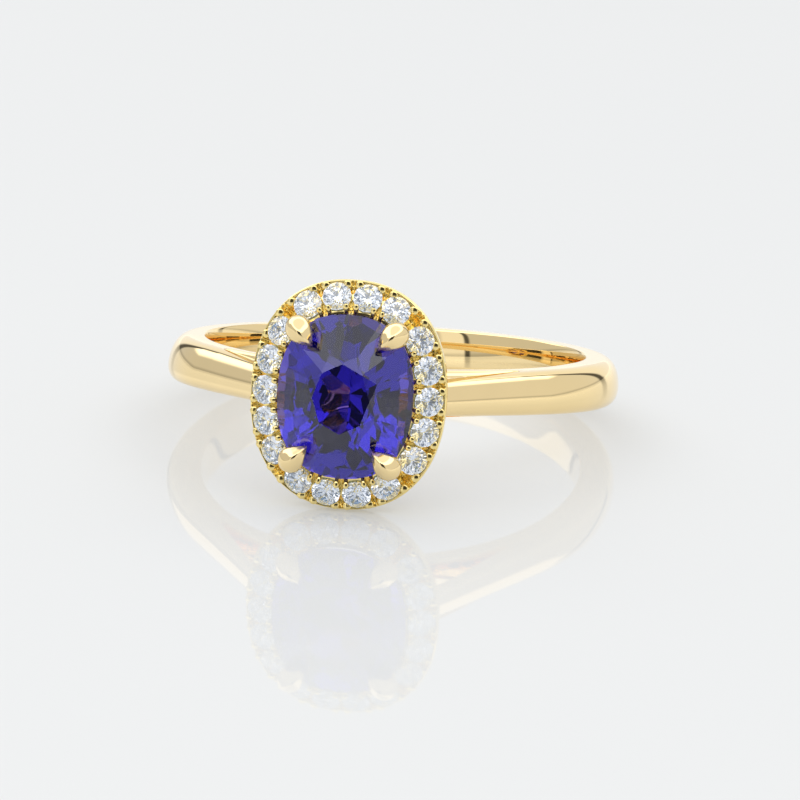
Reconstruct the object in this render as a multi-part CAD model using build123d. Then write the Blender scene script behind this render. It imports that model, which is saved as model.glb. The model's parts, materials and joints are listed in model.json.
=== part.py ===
from build123d import *
import math
import os

# Engagement ring, 18 ct yellow gold: an oval-cushion sapphire held by four talon claws, a halo of
# eighteen round brilliants in cut-down bead settings, and cathedral shoulders that leave a slim
# triangular window above the finger rail.
#
# Everything is modelled upright first: finger axis along Z, stones facing -Y, origin in the middle
# of the finger hole. At the end the whole ring leans back about X until the halo's lower rim and
# the back of the band both rest on one level table, which is how the ring lies when it is put down.
# All sizes are millimetres and degrees.

# ---- finger band ----
FINGER_R = 8.35  # UK size M, about US 6 1/4
BAND_OUTER_R = 9.95
BAND_HALF_WIDTH = 1.0
HEAD_HALF_WIDTH = 0.76  # the band narrows towards the head
TAPER_START_Y = -2.5
TAPER_MIDDLE = (-7.3, 0.92)  # y and half width half-way down the taper
OUTER_EDGE_ROUND = 0.36
RAIL_OUTER_R = 9.1  # the slim part of the band that runs under the head

# ---- cathedral shoulders ----
SHOULDER_LEAVES_DEG = 51.5  # where the shoulder leaves the band, measured from the head
WINDOW_TIP_DEG = 44.0  # the sharp end of the window between shoulder and finger rail
SHOULDER_INNER_TOP_X = 3.34
HALO_BACK_Y = -11.2  # the halo's back face, where the shoulders are soldered on

# ---- halo ----
OVAL_POWER = 2.3  # 2 is an ellipse; a little more squares the oval towards a cushion
STONE_LINE_A = 3.46  # half width of the line through the small diamonds' centres
STONE_LINE_B = 4.14  # half height of that line
STONE_LINE_Y = -12.5
HALO_TILT = 23.0  # the halo's face slopes down and outwards
RIM_OUT = 0.66  # from the stone line out to the rim
RIM_IN = 0.58  # from the stone line in to the end of the slope
OPENING_A = 2.80  # half width and half height of the opening, just under the sapphire's girdle
OPENING_B = 3.38
OPENING_DEPTH = 0.45  # height of the opening's straight wall
FACE_BELOW_GIRDLES = 0.08
RIM_WALL = 0.30  # height of the straight outer wall
BACK_TUCK = 0.26  # how far the wall tucks in towards the back
OVAL_POINTS = 40

DIAMOND_D = 1.22
DIAMOND_PITCH = 1.29  # centre to centre inside one row
ROW_COUNTS = (5, 4, 5, 4)  # right, top, left and bottom rows
DIAMOND_GIRDLE = 0.037
DIAMOND_TABLE = 0.56  # share of the diameter
DIAMOND_CROWN_SLOPE = 34.5
DIAMOND_STAR_SLOPE = 21.0
DIAMOND_STAR_REACH = 1.32  # star tip's distance from the axis, as a share of the table's
DIAMOND_PAVILION_SLOPE = 40.8
DIAMOND_LOWER_HALF_SLOPE = 42.0
SEAT_GAP = 0.012
SEAT_BELOW = 0.025  # the seat's ledge lies this far under the girdle
SEAT_WALL = 0.065
SEAT_SLOPE = 41.5
SEAT_BREAKS_OUT = 0.3  # height over which a seat also clears the metal above the crown
PEEP_HOLE_R = 0.26  # drilled through the metal behind each small diamond

BEAD_R = 0.15
BEAD_OUT = 0.46  # beads outside and inside the stone line, in the notches between diamonds
BEAD_IN = 0.52
BEAD_SPREAD = 0.24  # half the distance between the two beads of a pair
CORNER_BEAD_SPREAD = 0.29
INNER_BEAD_R = 0.12
INNER_BEAD_SPREAD = 0.22
BEAD_TOP = 0.14  # how far a bead stands above the girdles
BEAD_ROOT = 0.3  # how deep a bead is rooted in the halo
GROOVE_R = 0.09
GROOVE_FROM = 0.1  # the engraved groove starts this far outside the stone line

# ---- centre sapphire ----
SAPPHIRE_A = 2.85
SAPPHIRE_B = 3.42
SAPPHIRE_POWER = 2.4
SAPPHIRE_GIRDLE_Y = -12.9
SAPPHIRE_GIRDLE = 0.12
SAPPHIRE_TABLE_A = 1.20
SAPPHIRE_TABLE_B = 1.46
SAPPHIRE_CROWN = 1.05
SAPPHIRE_STAR_SLOPE = 21.0
SAPPHIRE_STAR_REACH = 1.42
# pavilion tiers: facets, first azimuth, share of the outline where the tier starts, slope
SAPPHIRE_PAVILION = (
    (24, 7.5, 1.00, 54.0),
    (24, 0.0, 0.80, 48.0),
    (16, 11.25, 0.58, 43.0),
    (8, 22.5, 0.34, 38.0),
)

# ---- claws and gallery ring ----
CLAW_BASE = (2.076, 2.775)  # X and Z where a claw passes over the halo
CLAW_HEADING = 44.0  # from the X axis to the claw, seen from the front
# one claw from foot to tip: distance inwards from its base, y, half width
CLAW_STATIONS = (
    (1.10, -9.30, 0.34),
    (0.28, -12.30, 0.33),
    (0.20, -12.60, 0.34),
    (0.12, -12.80, 0.38),
    (0.04, -13.02, 0.47),
    (0.03, -13.25, 0.52),
    (0.13, -13.46, 0.52),
    (0.31, -13.60, 0.475),
    (0.54, -13.66, 0.37),
    (0.77, -13.66, 0.205),
    (0.95, -13.63, 0.04),
)
GALLERY_A = 1.95
GALLERY_B = 2.50
GALLERY_WIRE_R = 0.40
GALLERY_Y = -9.26
CLAW_SEAT_GAP = 0.01


def polar(radius, degrees):
    """A point in the XY plane, measured from the head's direction (-Y)."""
    angle = math.radians(degrees)
    return (radius * math.sin(angle), -radius * math.cos(angle))


def oval_radius(a, b, power, angle):
    """Distance from the centre to a cushioned oval in one direction."""
    across = abs(math.cos(angle) / a) ** power
    along = abs(math.sin(angle) / b) ** power
    return (across + along) ** (-1 / power)


def oval_point(a, b, power, angle):
    """The cushioned oval's X and Z in one direction."""
    radius = oval_radius(a, b, power, angle)
    return radius * math.cos(angle), radius * math.sin(angle)


def oval_normal(a, b, power, x, z):
    """The outward direction of the cushioned oval at a point on it."""
    nx = math.copysign(abs(x / a) ** (power - 1) / a, x)
    nz = math.copysign(abs(z / b) ** (power - 1) / b, z)
    size = math.hypot(nx, nz)
    return nx / size, nz / size


def oval_face(grow, y, a=STONE_LINE_A, b=STONE_LINE_B):
    """A flat oval facing -Y, larger than the stone line by grow."""
    points = []
    for step in range(OVAL_POINTS):
        angle = 2 * math.pi * step / OVAL_POINTS
        x, z = oval_point(a + grow, b + grow, OVAL_POWER, angle)
        points.append((x, y, z))
    return make_face(Spline(*points, periodic=True))


def tapered(*levels):
    """A solid through ovals given as (grow, y)."""
    faces = [oval_face(grow, y) for grow, y in levels]
    return loft(faces, ruled=True)


# ---------------------------------------------------------------- band and shoulders
def side_profile():
    """The ring seen along the finger, head towards -Y, without its finger hole."""
    leave = polar(BAND_OUTER_R, SHOULDER_LEAVES_DEG)
    leave_angle = math.radians(SHOULDER_LEAVES_DEG)
    run = (leave[1] - HALO_BACK_Y) / math.sin(leave_angle)
    outer_top_x = leave[0] - run * math.cos(leave_angle)
    tip = polar(RAIL_OUTER_R, WINDOW_TIP_DEG)

    shoulder = Polyline(
        (0, 0),
        leave,
        (outer_top_x, HALO_BACK_Y),
        (-outer_top_x, HALO_BACK_Y),
        (-leave[0], leave[1]),
        close=True,
    )
    window = Polyline(
        (0, 0),
        tip,
        (SHOULDER_INNER_TOP_X, HALO_BACK_Y),
        (SHOULDER_INNER_TOP_X, HALO_BACK_Y - 1),
        (-SHOULDER_INNER_TOP_X, HALO_BACK_Y - 1),
        (-SHOULDER_INNER_TOP_X, HALO_BACK_Y),
        (-tip[0], tip[1]),
        close=True,
    )
    outline = Circle(BAND_OUTER_R) + make_face(shoulder)
    return outline - (make_face(window) - Circle(RAIL_OUTER_R))


def plan_profile():
    """The ring's width seen from the side: full at the back, slimmer at the head."""
    half = BAND_HALF_WIDTH
    middle_y, middle_half = TAPER_MIDDLE
    back_y = BAND_OUTER_R + 1
    head_y = HALO_BACK_Y - 0.1

    def edge(sign):
        taper = Spline(
            (TAPER_START_Y, sign * half),
            (middle_y, sign * middle_half),
            (head_y, sign * HEAD_HALF_WIDTH),
            tangents=[(-1, 0), (-1, -sign * 0.045)],
        )
        return taper

    upper = edge(1)
    lower = edge(-1)
    lines = Polyline(
        (TAPER_START_Y, half), (back_y, half), (back_y, -half), (TAPER_START_Y, -half)
    )
    end = Line((head_y, HEAD_HALF_WIDTH), (head_y, -HEAD_HALF_WIDTH))
    return make_face(Wire([*upper.edges(), *lines.edges(), *lower.edges(), end.edge()]))


def is_outer_edge(edge):
    """True for the long edges round the outside of the band and shoulders."""
    centre = edge.center()
    reach = min(math.hypot(point.X, point.Y) for point in edge.positions([0, 0.5, 1]))
    on_a_side = abs(centre.Z) > HEAD_HALF_WIDTH * 0.9
    return on_a_side and reach > BAND_OUTER_R - 0.05 and centre.Y > HALO_BACK_Y + 0.01


def make_shank():
    """Finger band, both cathedral shoulders and the finger rail, cast as one piece."""
    blank = extrude(side_profile(), 2, both=True)
    plan = extrude(Plane.YZ * plan_profile(), 15, both=True)
    body = blank & plan
    outer_edges = [edge for edge in body.edges() if is_outer_edge(edge)]
    body = fillet(outer_edges, OUTER_EDGE_ROUND)
    return body - Cylinder(FINGER_R, 6)


# ---------------------------------------------------------------- faceted stones
def cut_facet(stone, point, heading, slope):
    """Grind one flat facet: it passes through point and leans back by slope from level."""
    tilt = math.radians(slope)
    normal = (heading[0] * math.sin(tilt), heading[1] * math.sin(tilt), math.cos(tilt))
    return split(stone, bisect_by=Plane(point, z_dir=normal), keep=Keep.BOTTOM)


def cut_facet_through(stone, first, second, third):
    """Grind the facet that holds three points; the stone stays on the axis' side."""
    normal = (Vector(*second) - Vector(*first)).cross(Vector(*third) - Vector(*first))
    if normal.dot(Vector(*first)) < 0:
        normal = -normal
    return split(stone, bisect_by=Plane(first, z_dir=normal), keep=Keep.BOTTOM)


def make_diamond():
    """A round brilliant, table up, with its girdle at Z 0."""
    radius = DIAMOND_D / 2
    half_girdle = DIAMOND_GIRDLE / 2
    table_r = DIAMOND_TABLE * radius
    table_edge = table_r * math.cos(math.radians(22.5))
    star_reach = table_r * DIAMOND_STAR_REACH
    table_z = half_girdle + (radius - table_r) * math.tan(math.radians(DIAMOND_CROWN_SLOPE))
    star_z = table_z - (star_reach - table_edge) * math.tan(math.radians(DIAMOND_STAR_SLOPE))

    stone = extrude(RegularPolygon(radius, 16, rotation=0), table_z)
    stone += extrude(RegularPolygon(radius, 16, rotation=0), -radius)
    for step in range(8):
        main = math.radians(45 * step)
        between = math.radians(45 * step + 22.5)
        after = math.radians(45 * step + 45)
        main_dir = (math.cos(main), math.sin(main))
        star_dir = (math.cos(between), math.sin(between))
        above = (radius * main_dir[0], radius * main_dir[1], half_girdle)
        below = (radius * main_dir[0], radius * main_dir[1], -half_girdle)
        on_table = (table_edge * star_dir[0], table_edge * star_dir[1], table_z)
        star_tip = (star_reach * star_dir[0], star_reach * star_dir[1], star_z)
        corner = (radius * star_dir[0], radius * star_dir[1], half_girdle)
        stone = cut_facet(stone, above, main_dir, DIAMOND_CROWN_SLOPE)
        stone = cut_facet(stone, on_table, star_dir, DIAMOND_STAR_SLOPE)
        stone = cut_facet(stone, below, main_dir, 180 - DIAMOND_PAVILION_SLOPE)
        for side in (main, after):
            other = (radius * math.cos(side), radius * math.sin(side), half_girdle)
            stone = cut_facet_through(stone, star_tip, corner, other)
    for step in range(16):
        half = math.radians(22.5 * step + 11.25)
        half_dir = (math.cos(half), math.sin(half))
        flat = radius * math.cos(math.radians(11.25))
        below = (flat * half_dir[0], flat * half_dir[1], -half_girdle)
        stone = cut_facet(stone, below, half_dir, 180 - DIAMOND_LOWER_HALF_SLOPE)
    return stone


def girdle_point(degrees, share=1.0):
    """X, Y and outward direction on the sapphire's outline, table up."""
    x, y = oval_point(SAPPHIRE_A, SAPPHIRE_B, SAPPHIRE_POWER, math.radians(degrees))
    heading = oval_normal(SAPPHIRE_A, SAPPHIRE_B, SAPPHIRE_POWER, x, y)
    return x * share, y * share, heading


def make_sapphire():
    """An oval-cushion mixed cut, table up, girdle at Z 0, long axis along Y."""
    half_girdle = SAPPHIRE_GIRDLE / 2
    table_z = half_girdle + SAPPHIRE_CROWN
    outline = [girdle_point(360 * step / 32)[:2] for step in range(32)]
    blank = make_face(Polyline(*outline, close=True))
    stone = extrude(blank, table_z) + extrude(blank, -2 * SAPPHIRE_A)

    def table_point(degrees):
        angle = math.radians(degrees)
        return SAPPHIRE_TABLE_A * math.cos(angle), SAPPHIRE_TABLE_B * math.sin(angle)

    for step in range(8):
        here = 45.0 * step
        gx, gy, heading = girdle_point(here)
        tx, ty = table_point(here)
        run = (gx - tx) * heading[0] + (gy - ty) * heading[1]
        slope = math.degrees(math.atan2(SAPPHIRE_CROWN, run))
        stone = cut_facet(stone, (gx, gy, half_girdle), heading, slope)

        nx, ny = table_point(here + 45)
        mid_x, mid_y = (tx + nx) / 2, (ty + ny) / 2
        across = (ny - ty, tx - nx)
        size = math.hypot(*across)
        star_dir = (across[0] / size, across[1] / size)
        stone = cut_facet(stone, (mid_x, mid_y, table_z), star_dir, SAPPHIRE_STAR_SLOPE)

        star_x, star_y = mid_x * SAPPHIRE_STAR_REACH, mid_y * SAPPHIRE_STAR_REACH
        out = (star_x - mid_x) * star_dir[0] + (star_y - mid_y) * star_dir[1]
        star_z = table_z - out * math.tan(math.radians(SAPPHIRE_STAR_SLOPE))
        star_tip = (star_x, star_y, star_z)
        middle = (*girdle_point(here + 22.5)[:2], half_girdle)
        for side in (here, here + 45):
            corner = (*girdle_point(side)[:2], half_girdle)
            stone = cut_facet_through(stone, star_tip, middle, corner)

    depth = half_girdle
    last_share, last_slope = SAPPHIRE_PAVILION[0][2:]
    for count, first, share, slope in SAPPHIRE_PAVILION:
        depth += (last_share - share) * SAPPHIRE_A * math.tan(math.radians(last_slope))
        for step in range(count):
            x, y, heading = girdle_point(first + 360 * step / count, share)
            stone = cut_facet(stone, (x, y, -depth), heading, 180 - slope)
        last_share, last_slope = share, slope
    return stone


def facing_out(stone, x, y, z, normal, along):
    """Stand a table-up stone at a place on the ring, its table facing along normal."""
    return Plane((x, y, z), x_dir=along, z_dir=normal) * stone


# ---------------------------------------------------------------- halo
def stone_line(angle):
    """Position, outward direction and forward direction at an angle on the stone line."""
    x, z = oval_point(STONE_LINE_A, STONE_LINE_B, OVAL_POWER, angle)
    nx, nz = oval_normal(STONE_LINE_A, STONE_LINE_B, OVAL_POWER, x, z)
    return x, z, nx, nz


def step_along(angle, distance):
    """The angle that lies a given distance further round the stone line."""
    travelled = 0.0
    x, z = stone_line(angle)[:2]
    small = math.radians(0.1) * (1 if distance > 0 else -1)
    while travelled < abs(distance):
        angle += small
        new_x, new_z = stone_line(angle)[:2]
        travelled += math.hypot(new_x - x, new_z - z)
        x, z = new_x, new_z
    return angle


def diamond_angles():
    """Where the small diamonds sit: one even row on each of the four sides."""
    angles = []
    for side, count in enumerate(ROW_COUNTS):
        centre = math.radians(90 * side)
        first = -(count - 1) / 2
        for place in range(count):
            distance = (first + place) * DIAMOND_PITCH
            angles.append(step_along(centre, distance) if distance else centre)
    return angles


def halo_frame_at(angle, out):
    """A point on the halo's sloping face, out beyond the stone line, with its directions."""
    x, z, nx, nz = stone_line(angle)
    tilt = math.radians(HALO_TILT)
    up = Vector(nx * math.sin(tilt), -math.cos(tilt), nz * math.sin(tilt))
    slope_out = Vector(nx * math.cos(tilt), math.sin(tilt), nz * math.cos(tilt))
    along = slope_out.cross(up)
    place = Vector(x, STONE_LINE_Y, z) + slope_out * out
    return place, up, slope_out, along


def make_bead(angle, out, shift, radius):
    """One bead raised from the metal and pushed over the edges of its two diamonds."""
    place, up, _, along = halo_frame_at(angle, out)
    foot = place + along * shift - up * BEAD_ROOT
    post_height = BEAD_ROOT + BEAD_TOP - radius
    post = Plane(foot, z_dir=up) * extrude(Circle(radius), post_height)
    dome = Pos(*(foot + up * post_height)) * Sphere(radius)
    return post + dome


def bead_angles(angles):
    """The middle of every notch between two neighbouring diamonds."""
    middles = []
    for index, angle in enumerate(angles):
        following = angles[(index + 1) % len(angles)]
        if following < angle:
            following += 2 * math.pi
        middles.append((angle + following) / 2)
    return middles


def is_corner(index):
    """True for the four wide notches where a claw passes between two rows."""
    ends = []
    total = 0
    for count in ROW_COUNTS:
        total += count
        ends.append(total - 1)
    return index in ends


def make_opening(rim_y):
    """The room inside the halo: straight at the rim, wider towards the back."""
    faces = [
        oval_face(0.3, HALO_BACK_Y + 0.5, OPENING_A, OPENING_B),
        oval_face(0, rim_y + OPENING_DEPTH, OPENING_A, OPENING_B),
        oval_face(0, rim_y - 0.5, OPENING_A, OPENING_B),
    ]
    return loft(faces, ruled=True)


def make_seat():
    """Room for one small diamond, its ledge at Z 0: girdle band, cones and the peep hole."""
    seat_r = DIAMOND_D / 2 + SEAT_GAP
    cone_depth = seat_r * math.tan(math.radians(SEAT_SLOPE))
    top_r = seat_r - SEAT_BREAKS_OUT / math.tan(math.radians(DIAMOND_CROWN_SLOPE))
    seat = extrude(Circle(seat_r), SEAT_WALL)
    seat += Pos(0, 0, SEAT_WALL + SEAT_BREAKS_OUT / 2) * Cone(seat_r, top_r, SEAT_BREAKS_OUT)
    seat += Pos(0, 0, -cone_depth / 2) * Cone(0.001, seat_r, cone_depth)
    return seat + extrude(Circle(PEEP_HOLE_R), -1.0)


def make_halo(angles, claws):
    """The oval halo: sloping face, seats, peep holes, grooves and beads."""
    face_y = STONE_LINE_Y + FACE_BELOW_GIRDLES
    fall = math.tan(math.radians(HALO_TILT))
    outer_y = face_y + RIM_OUT * fall
    inner_y = face_y - RIM_IN * fall
    frame = tapered(
        (RIM_OUT - BACK_TUCK, HALO_BACK_Y),
        (RIM_OUT, outer_y + RIM_WALL),
        (RIM_OUT, outer_y),
        (-RIM_IN, inner_y),
    )
    frame -= make_opening(inner_y)

    for index, angle in enumerate(bead_angles(angles)):
        spread = CORNER_BEAD_SPREAD if is_corner(index) else BEAD_SPREAD
        place, up, slope_out, _ = halo_frame_at(angle, GROOVE_FROM)
        frame -= Plane(place, z_dir=slope_out) * extrude(Circle(GROOVE_R), 1.0)
        for sign in (-1, 1):
            frame += make_bead(angle, BEAD_OUT, sign * spread, BEAD_R)
            if not is_corner(index):
                frame += make_bead(angle, -BEAD_IN, sign * INNER_BEAD_SPREAD, INNER_BEAD_R)
    frame -= make_opening(inner_y)

    seat = make_seat()
    for angle in angles:
        place, up, _, along = halo_frame_at(angle, 0)
        frame -= Plane(place - up * SEAT_BELOW, x_dir=along, z_dir=up) * seat
    for claw in claws:
        frame -= claw
    return frame


# ---------------------------------------------------------------- claws and gallery ring
def make_claw():
    """One claw in the upper right corner: a tapered wire bent over the sapphire's crown."""
    heading = math.radians(CLAW_HEADING)
    ux, uz = math.cos(heading), math.sin(heading)
    base_x, base_z = CLAW_BASE
    places = [Vector(base_x - ux * inward, y, base_z - uz * inward) for inward, y, _ in CLAW_STATIONS]
    sections = []
    for index, (_, _, half_width) in enumerate(CLAW_STATIONS):
        before = places[max(index - 1, 0)]
        after = places[min(index + 1, len(places) - 1)]
        across = Vector(-uz, 0, ux)
        sections.append(Plane(places[index], x_dir=across, z_dir=after - before) * Circle(half_width))
    return loft(sections, ruled=True)


def make_gallery_ring():
    """The small oval ring under the head that joins the claws' feet to the finger rail."""
    points = []
    for step in range(OVAL_POINTS):
        angle = 2 * math.pi * step / OVAL_POINTS
        x, z = oval_point(GALLERY_A, GALLERY_B, OVAL_POWER, angle)
        points.append((x, GALLERY_Y, z))
    path = Spline(*points, periodic=True)
    return sweep(Plane(path @ 0, z_dir=path % 0) * Circle(GALLERY_WIRE_R), path=path)


def seat_claw(claw, sapphire_room, gallery, shank):
    """Notch a claw for the sapphire and fit its foot to the gallery ring."""
    return claw - sapphire_room - gallery - shank


# ---------------------------------------------------------------- resting pose
def lowest(solid, lean):
    """The lowest point of a solid when the ring leans by lean degrees."""
    return (Rot(X=-lean) * solid).bounding_box().min.Z


def resting_lean(shank, halo):
    """The lean at which the halo and the back of the band touch the table together."""
    low, high = 0.0, 20.0
    for _ in range(18):
        lean = (low + high) / 2
        if lowest(halo, lean) < lowest(shank, lean):
            low = lean
        else:
            high = lean
    return (low + high) / 2


def main():
    os.makedirs("parts", exist_ok=True)
    angles = diamond_angles()
    sapphire_cut = make_sapphire()
    front = (0, -1, 0)
    sapphire = facing_out(sapphire_cut, 0, SAPPHIRE_GIRDLE_Y, 0, front, (1, 0, 0))

    shank = make_shank()
    gallery = make_gallery_ring() - shank
    room = scale(sapphire_cut, 1 + CLAW_SEAT_GAP / SAPPHIRE_A)
    room = facing_out(room, 0, SAPPHIRE_GIRDLE_Y, 0, front, (1, 0, 0))
    claw = seat_claw(make_claw(), room, gallery, shank)
    claws = {
        "claw_upper_right": claw,
        "claw_upper_left": claw.mirror(Plane.YZ),
        "claw_lower_right": claw.mirror(Plane.XY),
        "claw_lower_left": claw.mirror(Plane.YZ).mirror(Plane.XY),
    }
    halo = make_halo(angles, claws.values())

    pieces = {"shank": shank, "halo_frame": halo, "gallery_ring": gallery, "centre_sapphire": sapphire}
    pieces.update(claws)
    brilliant = make_diamond()
    for number, angle in enumerate(angles, start=1):
        place, up, _, along = halo_frame_at(angle, 0)
        pieces[f"diamond_{number:02d}"] = facing_out(brilliant, *place, up, along)

    lean = resting_lean(shank, halo)
    print("lean", round(lean, 3))
    for name, piece in pieces.items():
        export_step(Rot(X=-lean) * piece, f"parts/{name}.step")


main()
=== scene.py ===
import json
import math

import bmesh
import bpy
import numpy as np
from mathutils import Matrix, Vector
from mathutils.geometry import delaunay_2d_cdt


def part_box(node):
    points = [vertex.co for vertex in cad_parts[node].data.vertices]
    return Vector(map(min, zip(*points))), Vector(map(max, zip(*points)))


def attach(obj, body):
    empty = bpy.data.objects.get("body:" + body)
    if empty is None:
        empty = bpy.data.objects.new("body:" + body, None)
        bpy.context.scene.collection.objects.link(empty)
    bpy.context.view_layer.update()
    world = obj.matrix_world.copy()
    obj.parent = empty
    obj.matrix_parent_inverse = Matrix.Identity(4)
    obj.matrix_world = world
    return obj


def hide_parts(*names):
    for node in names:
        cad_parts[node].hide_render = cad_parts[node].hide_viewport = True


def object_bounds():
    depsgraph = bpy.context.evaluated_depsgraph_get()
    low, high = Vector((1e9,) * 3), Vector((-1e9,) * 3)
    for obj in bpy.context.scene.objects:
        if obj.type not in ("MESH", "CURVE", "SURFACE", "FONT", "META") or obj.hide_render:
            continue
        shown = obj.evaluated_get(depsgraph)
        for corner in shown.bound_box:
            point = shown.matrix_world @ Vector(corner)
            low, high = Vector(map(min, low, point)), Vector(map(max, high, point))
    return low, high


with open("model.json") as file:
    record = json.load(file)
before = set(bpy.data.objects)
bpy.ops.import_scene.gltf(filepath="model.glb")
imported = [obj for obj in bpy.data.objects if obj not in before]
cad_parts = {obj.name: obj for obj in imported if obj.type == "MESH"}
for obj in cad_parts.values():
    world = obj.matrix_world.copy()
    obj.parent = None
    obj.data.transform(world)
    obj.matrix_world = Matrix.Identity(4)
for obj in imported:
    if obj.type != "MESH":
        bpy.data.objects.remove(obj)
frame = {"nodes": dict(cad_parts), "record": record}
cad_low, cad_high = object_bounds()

# Looks for the engagement ring. The metal is built again here as fine, smooth meshes; the stones are
# the CAD's own faceted solids with better materials. Shapes are worked out in millimetres in the
# ring's upright frame: finger axis along Z, stones facing -Y, origin in the middle of the finger hole.
# to_row then leans them back as the CAD does and turns them into metres.

mount = frame["record"]["mounts"][0]
FINGER_R = mount["dims"]["r_mm"]
LEAN = math.atan2(mount["axis"][1], mount["axis"][2])
MM = 0.001
FULL_TURN = 2 * math.pi

# ---- band and shoulders, mm and degrees ----
BAND_OUTER_R = 9.95
BAND_HALF_WIDTH = 1.0
HEAD_HALF_WIDTH = 0.76
TAPER_Y = (-11.3, -7.3, -2.5)
TAPER_HALF = (HEAD_HALF_WIDTH, 0.92, BAND_HALF_WIDTH)
RAIL_OUTER_R = 9.1
SHOULDER_LEAVES_DEG = 51.5
WINDOW_TIP_DEG = 44.0
SHOULDER_INNER_TOP_X = 3.34
HALO_BACK_Y = -11.2
DOME_POWER = 2.25
DOME_DEPTH = 0.66  # how far the domed outside falls away towards the band's edges
DOME_DEPTH_AT_HALO = 0.56
WINDOW_EDGE_DEPTH = 0.16  # edges are rounded less inside the window, on the rail and behind the halo
RAIL_EDGE_DEPTH = 0.24
HEAD_EDGE_DEPTH = 0.12
HEAD_EDGE_POWER = 0.25
DOME_LEAN = 0.12  # the hand-finished dome falls away a little more on its upper side
DOME_LEAN_LEFT = 0.20  # and more still on the left shoulder
LEFT_LEAN_X = (-1.0, -7.0)  # the left shoulder's lean starts and is complete here
OUTSIDE_STEPS = 32
BORE_STEPS = 32
BORE_POINTS = 360
BORE_DOME = 0.075  # comfort fit: the bore opens slightly towards both edges
BORE_EDGE = 0.13
BORE_LEVEL_POWER = 0.45
BORE_EDGE_POWER = 0.3
SIDE_GRID_FROM = 0.36  # the grid inside the flat sides, outwards from the finger hole
SIDE_GRID_TO_R = 12.0
SIDE_GRID_PITCH = 0.22
SIDE_GRID_TURN_DEG = 1.5
SIDE_GRID_CLEAR = 0.12

# ---- halo ----
OVAL_POWER = 2.3
OVAL_SAMPLES = 7201
STONE_LINE_A = 3.46
STONE_LINE_B = 4.14
STONE_LINE_Y = -12.5
HALO_TILT = math.radians(23.0)
HALO_POINTS = 1400
RIM_WALL = 0.30
RIM_ROUND = 0.05
BACK_TUCK = 0.26
BACK_EDGE_OUT = 0.30  # the back edge's rounding, measured in from the rim
BACK_EDGE_ROUND = (0.06, 0.05)
BACK_FACE_OUT = 0.36
RIM_OUT = 0.66
RIM_IN = 0.58
OPENING_A = 2.80
OPENING_B = 3.38
OPENING_DEPTH = 0.45
OPENING_FLARE = 0.36  # how much wider the opening is at the back
LIP_ROUND = 0.04
FACE_BELOW_GIRDLES = 0.08
FACE_DROP = 0.05  # the face between rim and stones lies this far under the slope
TROUGH_DROP = 0.09  # along the stone line it lies lower still
TROUGH_HALF_WIDTH = 0.45
RIM_RISE = 0.11
RIM_RISE_OUT = (0.50, 0.64)
DIAMOND_R = 0.61
SEAT_GAP = 0.012
BOWL_BELOW_GIRDLE = 0.03
BOWL_SLOPE = 0.88
BOWL_DEPTH = 0.45
CROWN_ABOVE_GIRDLE = 0.025
CROWN_SLOPE = 0.69
BEAD_GRIP = 0.16  # how far a bead may reach over a diamond's edge
PEEP_HOLE_DEPTH = 0.75
PEEP_HOLE_EDGE = (0.27, 0.235)
PEEP_HOLE_OUT = 0.02
CORNER_GAP = 1.45  # diamonds further apart than this have a claw between them
BEAD_R = 0.165
BEAD_STRETCH = 1.05
BEAD_POST = 0.12
BEAD_DOME = 0.07
BEAD_OUT = 0.45
BEAD_SPREAD = 0.24
CORNER_BEAD_SPREAD = 0.29
INNER_BEAD_R = 0.14
BEAD_IN = 0.52
INNER_BEAD_SPREAD = 0.22
GROOVE_HALF_WIDTH = 0.13
CORNER_GROOVE_HALF_WIDTH = 0.17
GROOVE_DEPTH = 0.18
INNER_GROOVE_DEPTH = 0.10
GROOVE_ENDS = (0.10, 0.25)
CHANNEL_HALF_WIDTH = 0.30  # the wider cut that clears each claw
CHANNEL_DEPTH = 0.30
CHANNEL_ENDS = (0.46, 0.20)

# ---- claws and gallery ring ----
CLAW_BASE = (2.076, 2.775)
CLAW_HEADING = math.radians(44.0)
# one claw from foot to tip: distance inwards from its base, y, half width
CLAW_STATIONS = (
    (1.10, -9.30, 0.34),
    (0.69, -10.80, 0.335),
    (0.28, -12.30, 0.33),
    (0.20, -12.60, 0.34),
    (0.12, -12.80, 0.38),
    (0.04, -13.02, 0.48),
    (0.02, -13.25, 0.545),
    (0.12, -13.46, 0.555),
    (0.31, -13.60, 0.50),
    (0.56, -13.66, 0.365),
    (0.80, -13.66, 0.185),
    (1.00, -13.62, 0.012),
)
CLAW_RINGS = 90
CLAW_AROUND = 56
CLAW_TIP_R = 0.012
RIDGE_SHARE = (0.50, 0.92)  # the ridge grows between these shares of the claw's length
RIDGE_HEIGHT = 0.22
RIDGE_SPREAD = 0.34
FLANK_DEPTH = 0.10
FLANK_AT = 0.85
FLANK_SPREAD = 0.38
CLAW_GAP = 0.01  # between a claw and the sapphire
GALLERY_A = 1.95
GALLERY_B = 2.50
GALLERY_WIRE_R = 0.40
GALLERY_Y = -9.26
GALLERY_POINTS = 240
GALLERY_AROUND = 32

to_row = Matrix.Rotation(-LEAN, 4, "X") @ Matrix.Scale(MM, 4)


# ================================================================ mesh helpers
def build_mesh(name, points, faces):
    """A smooth mesh object from points in the ring's own millimetres, its normals facing out."""
    mesh = bpy.data.meshes.new(name)
    mesh.from_pydata([tuple(p) for p in points], [], [tuple(f) for f in faces])
    mesh.transform(to_row)
    mesh.validate()
    mesh.shade_smooth()
    piece = bpy.data.objects.new(name, mesh)
    bpy.context.scene.collection.objects.link(piece)
    bm = bmesh.new()
    bm.from_mesh(mesh)
    bmesh.ops.recalc_face_normals(bm, faces=bm.faces)
    bm.to_mesh(mesh)
    bm.free()
    return piece


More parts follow.
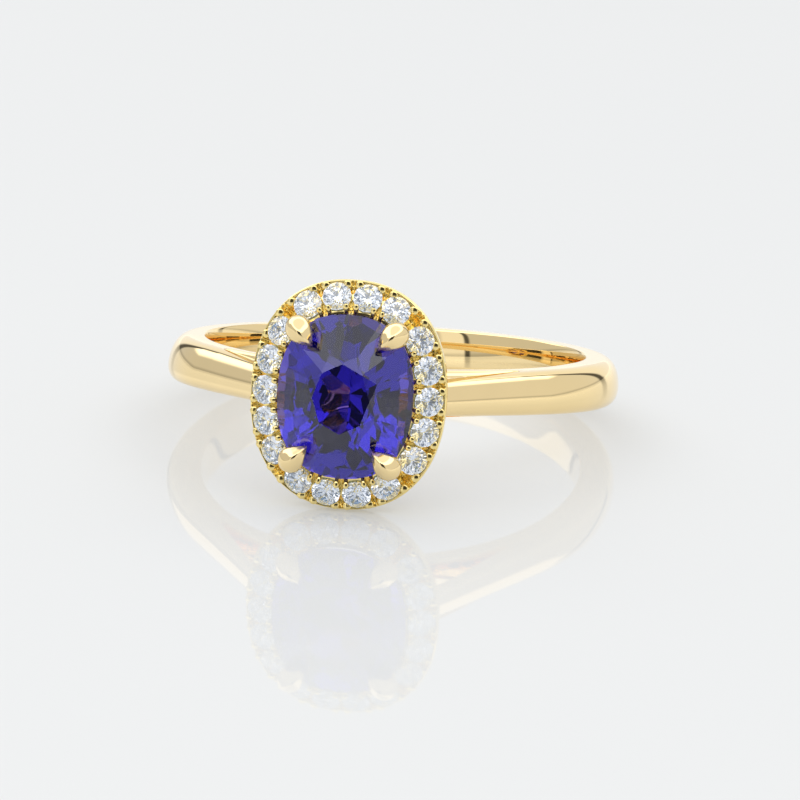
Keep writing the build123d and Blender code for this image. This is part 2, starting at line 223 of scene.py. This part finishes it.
def tube_faces(rings, around, closed):
    """Quads for a grid of rings x around points; closed joins the last ring to the first."""
    faces = []
    last = rings if closed else rings - 1
    for i in range(last):
        j = (i + 1) % rings
        for k in range(around):
            n = (k + 1) % around
            faces.append((i * around + k, i * around + n, j * around + n, j * around + k))
    return faces


def oval_radius(a, b, angle):
    """Distance from the centre to a cushioned oval in one direction."""
    across = np.abs(np.cos(angle) / a) ** OVAL_POWER
    upright = np.abs(np.sin(angle) / b) ** OVAL_POWER
    return (across + upright) ** (-1 / OVAL_POWER)


def oval_line(a, b, count):
    """Points evenly spaced along a cushioned oval, with outward normals and distance travelled."""
    angle = np.linspace(0, FULL_TURN, OVAL_SAMPLES)
    radius = oval_radius(a, b, angle)
    x, z = radius * np.cos(angle), radius * np.sin(angle)
    travel = np.concatenate([[0], np.cumsum(np.hypot(np.diff(x), np.diff(z)))])
    wanted = np.arange(count) / count * travel[-1]
    angle = np.interp(wanted, travel, angle)
    radius = oval_radius(a, b, angle)
    x, z = radius * np.cos(angle), radius * np.sin(angle)
    nx = np.sign(x) * np.abs(x / a) ** (OVAL_POWER - 1) / a
    nz = np.sign(z) * np.abs(z / b) ** (OVAL_POWER - 1) / b
    size = np.hypot(nx, nz)
    return x, z, nx / size, nz / size, wanted, travel[-1]


def smooth_step(low, high, value):
    """0 up to low, 1 from high, and a smooth curve between; low may be the larger."""
    t = np.clip((value - low) / (high - low), 0, 1)
    return t * t * (3 - 2 * t)


def around_loop(distance, total):
    """A distance along a closed line, brought to between minus and plus half its length."""
    return (distance + total / 2) % total - total / 2


# ================================================================ band and shoulders
def half_width(y):
    """Half the band's width at a height on the ring."""
    return np.interp(y, TAPER_Y, TAPER_HALF)


def on_circle(radius, angle):
    """A point on a circle round the finger hole; angle 0 is towards the head."""
    return radius * math.sin(angle), -radius * math.cos(angle)


def side_outline():
    """The outside of the ring seen along the finger: x, y, edge rounding, and 1 where it is rounded."""
    leave_x, leave_y = on_circle(BAND_OUTER_R, math.radians(SHOULDER_LEAVES_DEG))
    tip_x, tip_y = on_circle(RAIL_OUTER_R, math.radians(WINDOW_TIP_DEG))
    leave = math.radians(SHOULDER_LEAVES_DEG)
    run = (leave_y - HALO_BACK_Y) / math.sin(leave)
    top_x = leave_x - run * math.cos(leave)

    points = []
    for angle in np.radians(np.arange(180, SHOULDER_LEAVES_DEG, -1.0)):
        points.append((*on_circle(BAND_OUTER_R, angle), DOME_DEPTH, 1))
    for t in np.linspace(0, 1, 50):
        depth = DOME_DEPTH + (DOME_DEPTH_AT_HALO - DOME_DEPTH) * smooth_step(0.0, 1.0, t)
        points.append((leave_x + (top_x - leave_x) * t, leave_y + (HALO_BACK_Y - leave_y) * t, depth, 1))
    for t in (0.25, 0.5, 0.75):
        points.append((top_x + (SHOULDER_INNER_TOP_X - top_x) * t, HALO_BACK_Y, HEAD_EDGE_DEPTH, 0))
    for t in np.linspace(0, 0.985, 50):
        x = SHOULDER_INNER_TOP_X + (tip_x - SHOULDER_INNER_TOP_X) * t
        y = HALO_BACK_Y + (tip_y - HALO_BACK_Y) * t
        points.append((x, y, WINDOW_EDGE_DEPTH, 1))
    for angle in np.radians(np.arange(WINDOW_TIP_DEG - 0.4, 0, -1.0)):
        points.append((*on_circle(RAIL_OUTER_R, angle), RAIL_EDGE_DEPTH, 1))

    left = [(-x, y, depth, rise) for x, y, depth, rise in reversed(points) if abs(x) > 1e-6]
    middle = [(0.0, -RAIL_OUTER_R, RAIL_EDGE_DEPTH, 1)]
    return points + middle + left


def loop_normals(loop):
    """Outward normals of a closed outline, smoothed a little along it."""
    before, after = np.roll(loop, 1, axis=0), np.roll(loop, -1, axis=0)
    along = after - before
    normal = np.stack([along[:, 1], -along[:, 0]], 1)
    normal /= np.linalg.norm(normal, axis=1)[:, None]
    area = 0.5 * np.sum(loop[:, 0] * after[:, 1] - after[:, 0] * loop[:, 1])
    if area < 0:
        normal = -normal
    for _ in range(3):
        normal = normal + np.roll(normal, 1, axis=0) + np.roll(normal, -1, axis=0)
        normal /= np.linalg.norm(normal, axis=1)[:, None]
    return normal


def half_circle(count):
    """Sines and cosines of a half turn, from one side of the band to the other."""
    for k in range(count + 1):
        phi = math.pi / 2 - math.pi * k / count
        yield math.sin(phi), max(math.cos(phi), 0)


def outside_rows(loop, depth, rise):
    """The domed outside, or a barely eased flat where the outline runs inside the head."""
    normal = loop_normals(loop)
    half = half_width(loop[:, 1])
    lean = DOME_LEAN + (DOME_LEAN_LEFT - DOME_LEAN) * smooth_step(*LEFT_LEAN_X, loop[:, 0])
    lean = np.where(depth > 0.4, lean, 0)
    power = np.where(rise > 0.5, 2 / DOME_POWER, HEAD_EDGE_POWER)
    rows = []
    for sine, cosine in half_circle(OUTSIDE_STEPS):
        level = math.copysign(1, sine) * abs(sine) ** power
        inset = depth * (1 - cosine ** power) + lean * level
        xy = loop - normal * inset[:, None]
        rows.append(np.column_stack([xy, half * level]))
    return rows


def bore_rows():
    """The bore, slightly domed for comfort, with an eased edge on each side."""
    angle = np.radians(np.arange(BORE_POINTS))
    rows = []
    for sine, cosine in half_circle(BORE_STEPS):
        level = math.copysign(abs(sine) ** BORE_LEVEL_POWER, sine)
        radius = FINGER_R + BORE_DOME * level**2 + BORE_EDGE * (1 - cosine ** BORE_EDGE_POWER)
        x, y = radius * np.sin(angle), -radius * np.cos(angle)
        rows.append(np.column_stack([x, y, half_width(y) * level]))
    return rows


def add_rows(points, faces, rows):
    """Append a grid of rows to a mesh; gives the index of each row's points."""
    start = len(points)
    around = len(rows[0])
    for row in rows:
        points.extend(row)
    faces.extend([tuple(start + v for v in f) for f in tube_faces(len(rows), around, False)])
    return [list(range(start + k * around, start + (k + 1) * around)) for k in range(len(rows))]


def inside_polygon(point, polygon):
    """Whether a point is inside a closed outline."""
    x, y = point
    x1, y1 = polygon[:, 0], polygon[:, 1]
    x2, y2 = np.roll(x1, -1), np.roll(y1, -1)
    crosses = ((y1 > y) != (y2 > y)) & (x < (x2 - x1) * (y - y1) / (y2 - y1 + 1e-12) + x1)
    return bool(np.count_nonzero(crosses) % 2)


def side_grid(polygon, hole_r):
    """Extra points inside a flat side so that its triangles stay even."""
    points = []
    for radius in np.arange(FINGER_R + SIDE_GRID_FROM, SIDE_GRID_TO_R, SIDE_GRID_PITCH):
        for angle in np.radians(np.arange(0, 360, SIDE_GRID_TURN_DEG)):
            x, y = on_circle(radius, angle)
            if radius < hole_r + 0.1 or not inside_polygon((x, y), polygon):
                continue
            if np.min(np.hypot(polygon[:, 0] - x, polygon[:, 1] - y)) > SIDE_GRID_CLEAR:
                points.append(Vector((x, y)))
    return points


def add_flat_side(points, faces, side, outer, bore):
    """Close one side of the band between the outline's eased edge and the bore's."""
    edge_ids = outer + bore
    flat = [Vector((points[i][0], points[i][1])) for i in edge_ids]
    edges = [(i, (i + 1) % len(outer)) for i in range(len(outer))]
    edges += [(len(outer) + i, len(outer) + (i + 1) % len(bore)) for i in range(len(bore))]
    polygon = np.array([(p.x, p.y) for p in flat[:len(outer)]])
    hole_r = max(math.hypot(p.x, p.y) for p in flat[len(outer):])
    inside = side_grid(polygon, hole_r)
    verts, _, triangles, origins, _, _ = delaunay_2d_cdt(flat + inside, edges, [], 0, 1e-7)
    ids = []
    for vertex, came_from in zip(verts, origins):
        if came_from and came_from[0] < len(edge_ids):
            ids.append(edge_ids[came_from[0]])
        else:
            ids.append(len(points))
            points.append((vertex.x, vertex.y, side * float(half_width(vertex.y))))
    nearest = (FINGER_R + BORE_DOME + BORE_EDGE) * math.cos(math.pi / BORE_POINTS)
    for triangle in triangles:
        centre = sum((verts[i] for i in triangle), Vector((0, 0))) / 3
        if math.hypot(*centre) > nearest and inside_polygon(centre, polygon):
            faces.append(tuple(ids[i] for i in triangle))


def make_band():
    """Finger band, shoulders and rail: softly domed outside, flat sides, eased inner edge."""
    outline = np.array(side_outline())
    points, faces = [], []
    outer = add_rows(points, faces, outside_rows(outline[:, :2], outline[:, 2], outline[:, 3]))
    bore = add_rows(points, faces, bore_rows())
    add_flat_side(points, faces, 1, outer[0], bore[0])
    add_flat_side(points, faces, -1, outer[-1], bore[-1])
    return build_mesh("gold_band", points, faces)


# ================================================================ halo
def diamond_places():
    """Each small diamond's angle round the head, read from the CAD."""
    back = Matrix.Rotation(LEAN, 4, "X")
    places = []
    for name in sorted(frame["nodes"]):
        if name.startswith("diamond_"):
            low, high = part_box(name)
            centre = back @ ((Vector(low) + Vector(high)) / 2) / MM
            places.append(math.atan2(centre.z, centre.x) % FULL_TURN)
    return sorted(places)


def halo_section():
    """One cut through the halo: out from the stone line, y, and how much of each relief it takes.

    The third column is 1 on the face, where the seats and beads are, and the fourth is 1 on the back,
    where the peep holes are. The last is 1 where out is measured from the opening's own oval instead
    of the stone line.
    """
    face_y = STONE_LINE_Y + FACE_BELOW_GIRDLES
    fall = math.tan(HALO_TILT)
    outer_y = face_y + RIM_OUT * fall
    inner_y = face_y - RIM_IN * fall
    tuck_y = outer_y + RIM_WALL
    wall_y = inner_y + OPENING_DEPTH
    rows = []
    for t in np.linspace(-RIM_IN, RIM_OUT - RIM_ROUND, 68):
        rows.append((t, face_y + t * fall, 1, 0, 0))
    for phi in np.radians(np.arange(70, -1, -14)):
        out = RIM_OUT - RIM_ROUND * (1 - math.cos(phi))
        rows.append((out, outer_y + RIM_ROUND * (1 - math.sin(phi)), 0, 0, 0))
    for t in np.linspace(0.1, 1, 5):
        rows.append((RIM_OUT, outer_y + RIM_ROUND + (RIM_WALL - RIM_ROUND) * t, 0, 0, 0))
    for t in np.linspace(0.12, 0.92, 8):
        rows.append((RIM_OUT - BACK_TUCK * t, tuck_y + (HALO_BACK_Y - tuck_y) * t, 0, 0, 0))
    for phi in np.radians((20, 50, 80)):
        out = RIM_OUT - BACK_EDGE_OUT - BACK_EDGE_ROUND[0] * math.sin(phi)
        rows.append((out, HALO_BACK_Y - BACK_EDGE_ROUND[1] * math.cos(phi), 0, 0, 0))
    for t in np.linspace(0.08, 0.92, 22):
        rows.append((RIM_OUT - BACK_FACE_OUT - (RIM_OUT + 0.06) * t, HALO_BACK_Y, 0, 1, 0))
    for t in np.linspace(0, 1, 12):
        rows.append((OPENING_FLARE * (1 - t), HALO_BACK_Y + (wall_y - HALO_BACK_Y) * t, 0, 0, 1))
    for t in np.linspace(0.15, 0.88, 6):
        rows.append((0, wall_y + (inner_y - wall_y) * t, 0, 0, 1))
    for phi in np.radians(np.arange(0, 85, 20)):
        rows.append((LIP_ROUND * (1 - math.cos(phi)), inner_y + LIP_ROUND * (1 - math.sin(phi)), 0, 0, 1))
    return np.array(rows)


def dome(distance, height):
    """A round bead: full height in the middle, steep at its edge, nothing beyond 1."""
    return height * np.sqrt(np.clip(1 - distance**2, 0, None))


def cut_grooves(height, beside, out, corner):
    """Two engraved lines across a gap between diamonds, and a wider channel where a claw passes."""
    half = CORNER_GROOVE_HALF_WIDTH if corner else GROOVE_HALF_WIDTH
    cut = np.clip(1 - np.abs(np.abs(beside) - 0.5 * half) / (0.5 * half), 0, 1)
    depth = np.where(out > 0, GROOVE_DEPTH, INNER_GROOVE_DEPTH) * smooth_step(*GROOVE_ENDS, np.abs(out))
    height = height - depth * cut
    if corner:
        across = np.clip(1 - np.abs(beside) / CHANNEL_HALF_WIDTH, 0, 1)
        height = height - CHANNEL_DEPTH * across * smooth_step(*CHANNEL_ENDS, out)
    return height


def raise_beads(height, beside, out, corner):
    """The pairs of beads in a gap, standing straight out from the head, not square to the slope."""
    spread = CORNER_BEAD_SPREAD if corner else BEAD_SPREAD
    beads = [(BEAD_OUT, spread, BEAD_R, BEAD_R * BEAD_STRETCH)]
    if not corner:
        beads.append((-BEAD_IN, INNER_BEAD_SPREAD, INNER_BEAD_R, INNER_BEAD_R))
    for centre, aside, r_along, r_out in beads:
        for sign in (-1, 1):
            distance = np.hypot((beside - sign * aside) / r_along, (out - centre) / r_out)
            bead = BEAD_POST + dome(distance, BEAD_DOME) + math.tan(HALO_TILT) * (out - centre)
            height = np.where(distance < 1, np.maximum(height, bead), height)
    return height


def halo_relief(along, out, diamonds, gaps, corners, total):
    """Height of the halo's face above its slope: rim, seats, beads and the grooves between them."""
    height = np.full(along.shape, -FACE_DROP)
    height = np.maximum(height, -FACE_DROP + RIM_RISE * smooth_step(*RIM_RISE_OUT, out))
    height = np.where(np.abs(out) < TROUGH_HALF_WIDTH, -TROUGH_DROP, height)
    for place, corner in zip(gaps, corners):
        beside = around_loop(along - place, total)
        near = np.abs(beside) < 1.0
        cut = cut_grooves(height, beside, out, corner)
        height = np.where(near, raise_beads(cut, beside, out, corner), height)
    girdle = FACE_BELOW_GIRDLES * math.cos(HALO_TILT)
    for place in diamonds:
        inwards = DIAMOND_R + SEAT_GAP - np.hypot(around_loop(along - place, total), out)
        bowl = np.maximum(girdle - BOWL_BELOW_GIRDLE - inwards * BOWL_SLOPE, -BOWL_DEPTH)
        crown = girdle + CROWN_ABOVE_GIRDLE + inwards * CROWN_SLOPE
        gripped = (height > crown) & (inwards < BEAD_GRIP)
        height = np.where((inwards > 0) & ~gripped, np.minimum(height, bowl), height)
    return height


def make_halo():
    """The halo: one closed skin swept round the stone line with its relief raised from the face."""
    x, z, nx, nz, travel, total = oval_line(STONE_LINE_A, STONE_LINE_B, HALO_POINTS)
    angle_of_travel = np.arctan2(z, x) % FULL_TURN
    order = np.argsort(angle_of_travel)
    diamonds = np.interp(diamond_places(), angle_of_travel[order], travel[order])
    following = np.append(diamonds[1:], diamonds[0] + total)
    gaps = (diamonds + following) / 2
    corners = (following - diamonds) > CORNER_GAP

    section = halo_section()
    rows = len(section)
    along = np.repeat(travel[:, None], rows, 1)
    columns = (np.repeat(section[None, :, k], HALO_POINTS, 0) for k in range(5))
    out, y, relief_share, back_share, own_oval = columns
    relief = relief_share * halo_relief(along, out / math.cos(HALO_TILT), diamonds, gaps, corners, total)
    peep = np.zeros(out.shape)
    for place in diamonds:
        distance = np.hypot(around_loop(along - place, total), out + PEEP_HOLE_OUT)
        peep = np.maximum(peep, PEEP_HOLE_DEPTH * smooth_step(*PEEP_HOLE_EDGE, distance))

    away = out + relief * math.sin(HALO_TILT)
    py = y - relief * math.cos(HALO_TILT) - peep * back_share
    angle = np.arctan2(z, x)[:, None]
    radius = oval_radius(OPENING_A, OPENING_B, angle) + out
    px = np.where(own_oval > 0, radius * np.cos(angle), x[:, None] + nx[:, None] * away)
    pz = np.where(own_oval > 0, radius * np.sin(angle), z[:, None] + nz[:, None] * away)
    points = np.stack([px, py, pz], 2).reshape(-1, 3)
    return build_mesh("gold_halo", points, tube_faces(HALO_POINTS, rows, True))


# ================================================================ claws and gallery ring
def curve_through(stations, count):
    """Smooth positions and radii through the claw's stations (Catmull-Rom)."""
    knots = np.array(stations)
    first = 2 * knots[0] - knots[1]
    last = 2 * knots[-1] - knots[-2]
    knots = np.vstack([first, knots, last])
    spans = len(stations) - 1
    result = []
    for value in np.linspace(0, spans, count):
        i = min(int(value), spans - 1)
        t = value - i
        a, b, c, d = knots[i : i + 4]
        straight = 2 * b + (c - a) * t
        bend = (2 * a - 5 * b + 4 * c - d) * t**2 + (3 * b - a - 3 * c + d) * t**3
        result.append(0.5 * (straight + bend))
    return np.array(result)


def make_claw(name, side_x, side_z):
    """A talon claw: a tapered wire that swells over the girdle and comes to a ridged point."""
    path = curve_through(CLAW_STATIONS, CLAW_RINGS)
    ux, uz = math.cos(CLAW_HEADING) * side_x, math.sin(CLAW_HEADING) * side_z
    base = np.array([CLAW_BASE[0] * side_x, 0, CLAW_BASE[1] * side_z])
    inwards = np.array([-ux, 0, -uz])
    across = np.array([-uz, 0, ux])
    places = base + path[:, :1] * inwards + path[:, 1:2] * np.array([0, 1, 0])
    points = []
    for i, radius in enumerate(path[:, 2]):
        direction = places[min(i + 1, CLAW_RINGS - 1)] - places[max(i - 1, 0)]
        direction /= np.linalg.norm(direction)
        top = np.cross(across, direction)
        if top @ np.array([ux, -0.6, uz]) < 0:
            top = -top
        ridged = smooth_step(*RIDGE_SHARE, i / (CLAW_RINGS - 1))
        for k in range(CLAW_AROUND):
            phi = math.remainder(FULL_TURN * k / CLAW_AROUND, FULL_TURN)
            ridge = 1 + RIDGE_HEIGHT * ridged * math.exp(-((phi / RIDGE_SPREAD) ** 2))
            flank = 1 - FLANK_DEPTH * ridged * math.exp(-(((abs(phi) - FLANK_AT) / FLANK_SPREAD) ** 2))
            r = max(radius, CLAW_TIP_R) * ridge * flank
            points.append(places[i] + top * (r * math.cos(phi)) + across * (r * math.sin(phi)))
    faces = tube_faces(CLAW_RINGS, CLAW_AROUND, False)
    for ring in (0, CLAW_RINGS - 1):
        faces.append(tuple(ring * CLAW_AROUND + k for k in range(CLAW_AROUND)))
    return build_mesh(name, points, faces)


def make_gallery():
    """The oval wire ring behind the head that the claws' feet stand in."""
    x, z, nx, nz, _, _ = oval_line(GALLERY_A, GALLERY_B, GALLERY_POINTS)
    phi = np.linspace(0, FULL_TURN, GALLERY_AROUND, endpoint=False)
    out = GALLERY_WIRE_R * np.cos(phi)
    px = x[:, None] + nx[:, None] * out
    pz = z[:, None] + nz[:, None] * out
    py = GALLERY_Y + np.repeat(GALLERY_WIRE_R * np.sin(phi)[None, :], GALLERY_POINTS, 0)
    points = np.stack([px, py, pz], 2).reshape(-1, 3)
    return build_mesh("gold_gallery_ring", points, tube_faces(GALLERY_POINTS, GALLERY_AROUND, True))


def push_clear(piece, stone, gap):
    """Move a piece's points out of a convex stone, so that it bears on the stone's facets."""
    facets = stone.data.polygons
    normals = np.array([f.normal[:] for f in facets])
    levels = np.array([f.normal.dot(stone.data.vertices[f.vertices[0]].co) for f in facets]) + gap
    for vertex in piece.data.vertices:
        depths = normals @ np.array(vertex.co) - levels
        nearest = depths.argmax()
        if depths[nearest] < 0:
            vertex.co -= Vector(normals[nearest]) * depths[nearest]
    piece.data.update()


# ================================================================ materials
def new_material(name):
    """An empty node material with one Principled shader; gives its tree, shader and output too."""
    material = bpy.data.materials.new(name)
    material.use_nodes = True
    tree = material.node_tree
    tree.nodes.clear()
    output = tree.nodes.new("ShaderNodeOutputMaterial")
    shader = tree.nodes.new("ShaderNodeBsdfPrincipled")
    tree.links.new(shader.outputs["BSDF"], output.inputs["Surface"])
    return material, tree, shader, output


def noise(tree, scale, detail, roughness=0.5):
    """Noise fixed to the piece, as a value from 0 to 1."""
    place = tree.nodes.new("ShaderNodeTexCoord")
    node = tree.nodes.new("ShaderNodeTexNoise")
    node.inputs["Scale"].default_value = scale
    node.inputs["Detail"].default_value = detail
    node.inputs["Roughness"].default_value = roughness
    tree.links.new(place.outputs["Object"], node.inputs["Vector"])
    return node.outputs["Fac"]


def spread(tree, value, low, high):
    """A 0 to 1 value stretched over low to high."""
    node = tree.nodes.new("ShaderNodeMapRange")
    node.inputs["To Min"].default_value = low
    node.inputs["To Max"].default_value = high
    tree.links.new(value, node.inputs["Value"])
    return node.outputs["Result"]


def mottle(tree, value, low_at, low, high_at, high):
    """A colour that drifts between two tones as the value goes from low_at to high_at."""
    ramp = tree.nodes.new("ShaderNodeValToRGB")
    dark, light = ramp.color_ramp.elements
    dark.position, light.position = low_at, high_at
    dark.color, light.color = (*low, 1), (*high, 1)
    tree.links.new(value, ramp.inputs["Fac"])
    return ramp.outputs["Color"]


def gold(name, colour, rough_low, rough_high, hand_finish):
    """Polished 18 ct yellow gold with faint polishing ripple and slightly uneven gloss."""
    material, tree, shader, _ = new_material(name)
    shader.inputs["Metallic"].default_value = 1.0
    darker = [0.97 * part for part in colour]
    tone = mottle(tree, noise(tree, 420, 3), 0.3, darker, 0.7, colour)
    tree.links.new(tone, shader.inputs["Base Color"])
    gloss = spread(tree, noise(tree, 2600, 4, 0.6), rough_low, rough_high)
    tree.links.new(gloss, shader.inputs["Roughness"])
    bump = tree.nodes.new("ShaderNodeBump")
    bump.inputs["Strength"].default_value = hand_finish
    bump.inputs["Distance"].default_value = 0.01 * MM
    tree.links.new(noise(tree, 900, 2), bump.inputs["Height"])
    tree.links.new(bump.outputs["Normal"], shader.inputs["Normal"])
    return material


def gem(name, ior, tone_low, tone_high):
    """A polished stone: clear, with its own refractive index and a faint drift of colour."""
    material, tree, shader, output = new_material(name)
    shader.inputs["Transmission Weight"].default_value = 1.0
    shader.inputs["Roughness"].default_value = 0.0
    shader.inputs["IOR"].default_value = ior
    tone = mottle(tree, noise(tree, 350, 2), 0.35, tone_low, 0.65, tone_high)
    tree.links.new(tone, shader.inputs["Base Color"])
    return material, tree, shader, output


def sapphire_material():
    """Violet-blue, and deeper where more stone is looked through."""
    material, tree, _, output = gem("sapphire", 1.77, (0.74, 0.70, 0.97), (0.86, 0.80, 1.0))
    depth = tree.nodes.new("ShaderNodeVolumeAbsorption")
    depth.inputs["Color"].default_value = (0.16, 0.05, 0.78, 1)
    depth.inputs["Density"].default_value = 520
    tree.links.new(depth.outputs["Volume"], output.inputs["Volume"])
    return material


def diamond_material():
    """Colourless, with a faint painted blue glow (emission) that brightens the stones."""
    material, _, shader, _ = gem("diamond", 2.42, (0.88, 0.92, 1.0), (0.95, 0.97, 1.0))
    # painted glow: a faint blue emission that lightens the diamonds, which are no lamp
    shader.inputs["Emission Color"].default_value = (0.15, 0.45, 1.0, 1)
    shader.inputs["Emission Strength"].default_value = 0.03
    return material


def table_top():
    """Glossy pale acrylic with a painted glow (emission), brighter at the front and fainter towards the back,
    that thins the ring's shadows.
    """
    material, tree, shader, _ = new_material("pale_acrylic")
    shader.inputs["Base Color"].default_value = (0.42, 0.424, 0.424, 1)
    shader.inputs["IOR"].default_value = 1.2
    # painted glow: the floor's emission lightens it and fills in the ring's shadows, fading towards the back
    shader.inputs["Emission Color"].default_value = (0.985, 1.0, 0.995, 1)
    place = tree.nodes.new("ShaderNodeTexCoord")
    split = tree.nodes.new("ShaderNodeSeparateXYZ")
    tree.links.new(place.outputs["Object"], split.inputs[0])
    painted_floor_glow = tree.nodes.new("ShaderNodeMapRange")
    for socket, value in (("From Min", -0.05), ("From Max", 0.10), ("To Min", 0.335), ("To Max", 0.225)):
        painted_floor_glow.inputs[socket].default_value = value
    tree.links.new(split.outputs["Y"], painted_floor_glow.inputs["Value"])
    tree.links.new(painted_floor_glow.outputs["Result"], shader.inputs["Emission Strength"])
    film = spread(tree, noise(tree, 40, 3), 0.0, 0.05)
    tree.links.new(film, shader.inputs["Roughness"])
    return material


def dress(piece, material, replaced):
    """Give a rebuilt metal piece its material, hide the CAD node it stands for, and hang it under the root
    body.
    """
    piece.data.materials.clear()
    piece.data.materials.append(material)
    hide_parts(replaced)
    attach(piece, "root")


# ================================================================ put the ring together
band_gold = gold("yellow_gold_band", (1.0, 0.785, 0.42), 0.02, 0.06, 0.05)
halo_gold = gold("yellow_gold_halo", (1.0, 0.800, 0.335), 0.05, 0.12, 0.10)
gallery_gold = gold("yellow_gold_gallery", (1.0, 0.790, 0.380), 0.06, 0.14, 0.10)
claw_gold = gold("yellow_gold_claws", (1.0, 0.790, 0.420), 0.02, 0.07, 0.06)
stone_looks = {"centre_sapphire": sapphire_material()}
diamond_look = diamond_material()

for name, node in frame["nodes"].items():
    if name.startswith("diamond_"):
        stone_looks[name] = diamond_look
    if name in stone_looks:
        node.data.materials.clear()
        node.data.materials.append(stone_looks[name])

dress(make_band(), band_gold, "shank")
dress(make_halo(), halo_gold, "halo_frame")
dress(make_gallery(), gallery_gold, "gallery_ring")

for vertical, side_z in (("upper", 1), ("lower", -1)):
    for horizontal, side_x in (("right", 1), ("left", -1)):
        claw = make_claw(f"gold_claw_{vertical}_{horizontal}", side_x, side_z)
        push_clear(claw, frame["nodes"]["centre_sapphire"], CLAW_GAP * MM)
        dress(claw, claw_gold, f"claw_{vertical}_{horizontal}")


# ================================================================ floor, light and camera
def make_floor():
    """The table top that the ring lies on, a hair below it."""
    reach = 3.0
    level = cad_low.z - 0.01 * MM
    corners = [(-reach, -reach, level), (reach, -reach, level), (reach, reach, level), (-reach, reach, level)]
    mesh = bpy.data.meshes.new("floor")
    mesh.from_pydata(corners, [], [(0, 1, 2, 3)])
    floor = bpy.data.objects.new("floor", mesh)
    bpy.context.scene.collection.objects.link(floor)
    floor.data.materials.append(table_top())


def light_tent():
    """A white light tent as the world: walls, a brighter roof and a dark opening for the camera.

    Directions are degrees: azimuth 0 is in front of the stones and positive to their right, and
    elevation 0 is level. Each later part of the tent covers the earlier ones where its share is 1.
    """
    world = bpy.data.worlds.new("light_tent")
    bpy.context.scene.world = world
    world.use_nodes = True
    tree = world.node_tree
    tree.nodes.clear()
    nodes, links = tree.nodes, tree.links

    def maths(operation, *values):
        node = nodes.new("ShaderNodeMath")
        node.operation = operation
        for socket, value in zip(node.inputs, values):
            if isinstance(value, (int, float)):
                socket.default_value = value
            else:
                links.new(value, socket)
        return node.outputs[0]

    def ramp_between(value, low, high):
        node = nodes.new("ShaderNodeMapRange")
        node.interpolation_type = "SMOOTHSTEP"
        node.inputs["From Min"].default_value = low
        node.inputs["From Max"].default_value = high
        links.new(value, node.inputs["Value"])
        return node.outputs["Result"]

    def both(first, second):
        return maths("MULTIPLY", first, second)

    def blend(share, first, second):
        return maths("ADD", both(maths("SUBTRACT", 1.0, share), first), both(share, second))

    place = nodes.new("ShaderNodeTexCoord")
    axes = nodes.new("ShaderNodeSeparateXYZ")
    links.new(place.outputs["Generated"], axes.inputs[0])
    x, y, z = axes.outputs
    elevation = maths("MULTIPLY", maths("ARCSINE", z), 180 / math.pi)
    azimuth = maths("MULTIPLY", maths("ARCTAN2", x, maths("MULTIPLY", y, -1.0)), 180 / math.pi)
    turned = maths("ABSOLUTE", azimuth)
    from_camera = maths("ABSOLUTE", maths("SUBTRACT", azimuth, 8.0))

    # walls, with a brighter panel at the front left, its dark seam, and a skirting along the table
    level = blend(ramp_between(azimuth, -12, 12), 0.64, 0.79)
    front_panel = both(ramp_between(azimuth, -37, -35), ramp_between(azimuth, -18, -22))
    level = blend(front_panel, level, 0.95)
    seam = both(ramp_between(azimuth, -40, -38), ramp_between(azimuth, -34.5, -36.5))
    level = blend(seam, level, 0.10)
    skirting = both(ramp_between(elevation, -1.0, 0.0), ramp_between(elevation, 3.2, 0.6))
    level = both(level, blend(skirting, 1.0, 0.70))

    # a bright roof, dimmer overhead, which comes down lower on the left towards the back
    low_roof = both(ramp_between(azimuth, -95, -115), ramp_between(azimuth, -156, -144))
    raised = maths("ADD", elevation, maths("MULTIPLY", low_roof, 19.0))
    level = blend(ramp_between(raised, 33, 38), level, 1.9)
    level = blend(ramp_between(elevation, 53, 60), level, 1.1)

    # the back wall between its two dark edges, and the opening for the camera
    back = both(ramp_between(turned, 148, 152), ramp_between(raised, 42, 36))
    level = blend(back, level, 0.98)
    edge = both(ramp_between(turned, 141, 144), ramp_between(turned, 150, 147))
    level = blend(both(edge, ramp_between(raised, 42, 38)), level, 0.10)
    opening = both(ramp_between(from_camera, 26, 23), ramp_between(elevation, 42, 38))
    level = blend(opening, level, 0.05)

    path = nodes.new("ShaderNodeLightPath")
    background = nodes.new("ShaderNodeBackground")
    output = nodes.new("ShaderNodeOutputWorld")
    background.inputs["Color"].default_value = (0.985, 0.99, 1.0, 1)
    links.new(blend(path.outputs["Is Camera Ray"], level, 0.91), background.inputs["Strength"])
    links.new(background.outputs[0], output.inputs["Surface"])


def make_camera():
    """A long lens a little above the ring and to its right, rolled slightly."""
    azimuth, elevation, roll = math.radians(8.9), math.radians(16.46), math.radians(-1.84)
    distance = 0.1892
    aim = Vector((0.000368, -0.000361, -0.001399))
    level_out = Vector((math.sin(azimuth), -math.cos(azimuth), 0))
    level_right = Vector((math.cos(azimuth), math.sin(azimuth), 0))
    back = level_out * math.cos(elevation) + Vector((0, 0, math.sin(elevation)))
    up = back.cross(level_right) * math.cos(roll) + level_right * math.sin(roll)
    turn = Matrix((up.cross(back), up, back)).transposed().to_4x4()

    data = bpy.data.cameras.new("camera")
    data.lens = 192.1
    data.sensor_width = 36
    data.clip_start = 0.001
    data.clip_end = 10
    camera = bpy.data.objects.new("camera", data)
    bpy.context.scene.collection.objects.link(camera)
    camera.matrix_world = Matrix.Translation(aim + back * distance) @ turn
    bpy.context.scene.camera = camera


make_floor()
light_tent()
make_camera()

scene = bpy.context.scene
scene.view_settings.view_transform = "Standard"
scene.view_settings.look = "None"
scene.cycles.max_bounces = 32
scene.cycles.transmission_bounces = 32
scene.cycles.glossy_bounces = 12
scene.cycles.diffuse_bounces = 3
scene.cycles.caustics_reflective = True
scene.cycles.caustics_refractive = True
